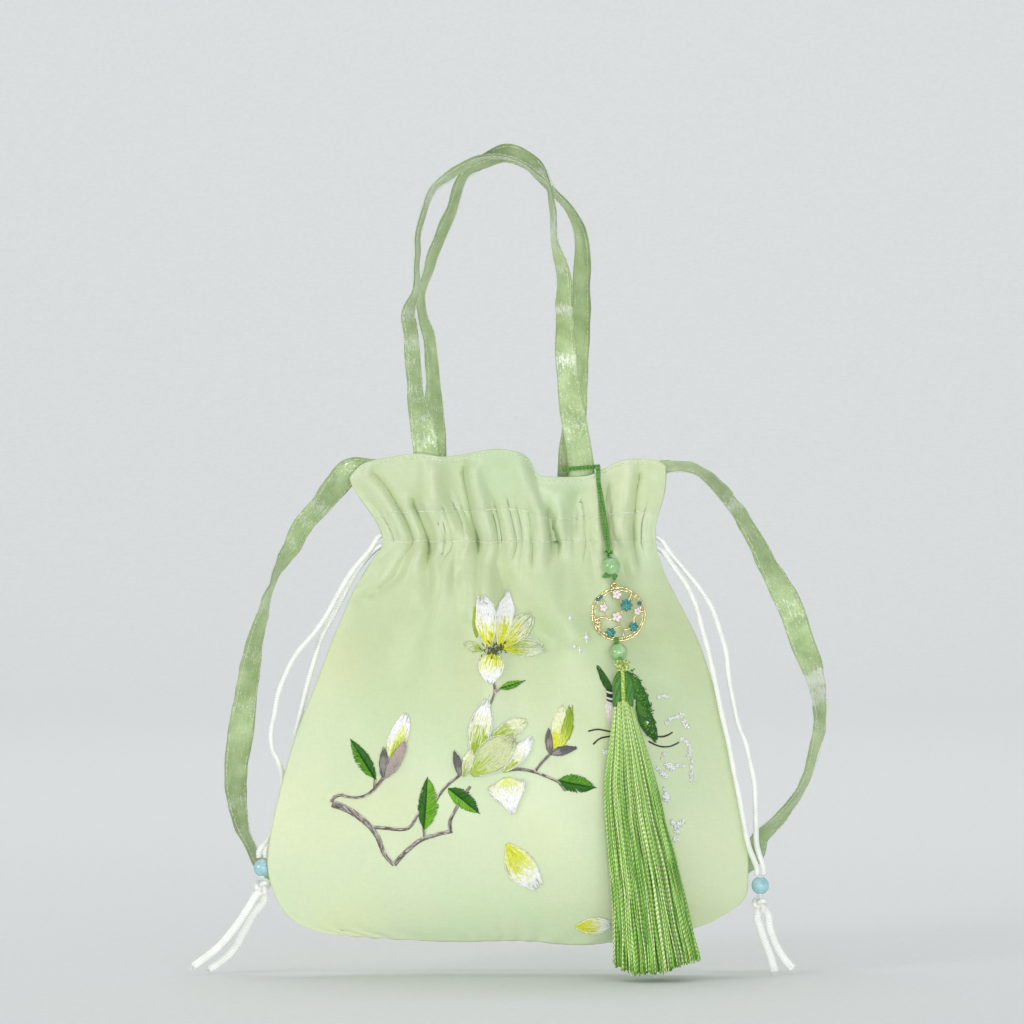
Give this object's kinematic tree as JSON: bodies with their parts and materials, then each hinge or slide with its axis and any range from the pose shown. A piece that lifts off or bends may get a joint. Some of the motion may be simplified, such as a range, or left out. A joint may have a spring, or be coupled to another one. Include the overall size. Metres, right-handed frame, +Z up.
{
  "type": "embroidered drawstring purse",
  "caption": "Soft cloth drawstring purse with a gathered mouth, hand straps, a long shoulder strap, side drawcords and a hanging tassel charm.",
  "frame": {"origin": "inside top of the two hand-strap loops, where the purse hangs", "axes": "+X to the viewer's right when facing the embroidered front, +Z up, the embroidered front faces -Y"},
  "size_m": [0.2874, 0.0661, 0.3739],
  "materials": {
    "cloth": "pale green satin-faced chiffon with machine embroidery",
    "organza": "shimmering organza ribbon strap, edge stitched",
    "white_satin": "braided satin rattail cord",
    "blue_glass": "opaque light blue glass bead, polished",
    "jade_glass": "milky jade-green bead, polished",
    "green_cord": "twisted green knotting cord",
    "gold": "gold-plated cast brass, polished",
    "white_enamel": "glossy white-pink enamel",
    "teal_enamel": "glossy teal enamel",
    "cap_thread": "wound dark green thread",
    "tassel_thread": "glossy twisted rayon thread, hanging in locks"
  },
  "bodies": {
    "root": {"front_panel": "cloth", "back_panel": "cloth", "hand_strap_front": "organza", "hand_strap_back": "organza", "shoulder_strap": "organza", "drawcord_left_1": "white_satin", "drawcord_left_2": "white_satin", "drawcord_right_1": "white_satin", "drawcord_right_2": "white_satin", "cord_knot_left": "white_satin", "cord_knot_right": "white_satin", "cord_tail_left_1": "white_satin", "cord_tail_left_2": "white_satin", "cord_tail_right_1": "white_satin", "cord_tail_right_2": "white_satin", "blue_bead_left": "blue_glass", "blue_bead_right": "blue_glass", "charm_cord": "green_cord", "charm_tie_upper": "green_cord", "charm_tie_lower": "green_cord", "charm_bead_upper": "jade_glass", "charm_bead_lower": "jade_glass", "jump_ring": "gold", "charm_disc": "gold", "white_flower_1": "white_enamel", "white_flower_2": "white_enamel", "white_flower_3": "white_enamel", "white_flower_4": "white_enamel", "teal_flower_1": "teal_enamel", "teal_flower_2": "teal_enamel", "teal_flower_3": "teal_enamel", "tassel_cap": "cap_thread", "tassel_skirt": "tassel_thread"}
  },
  "joints": []
}
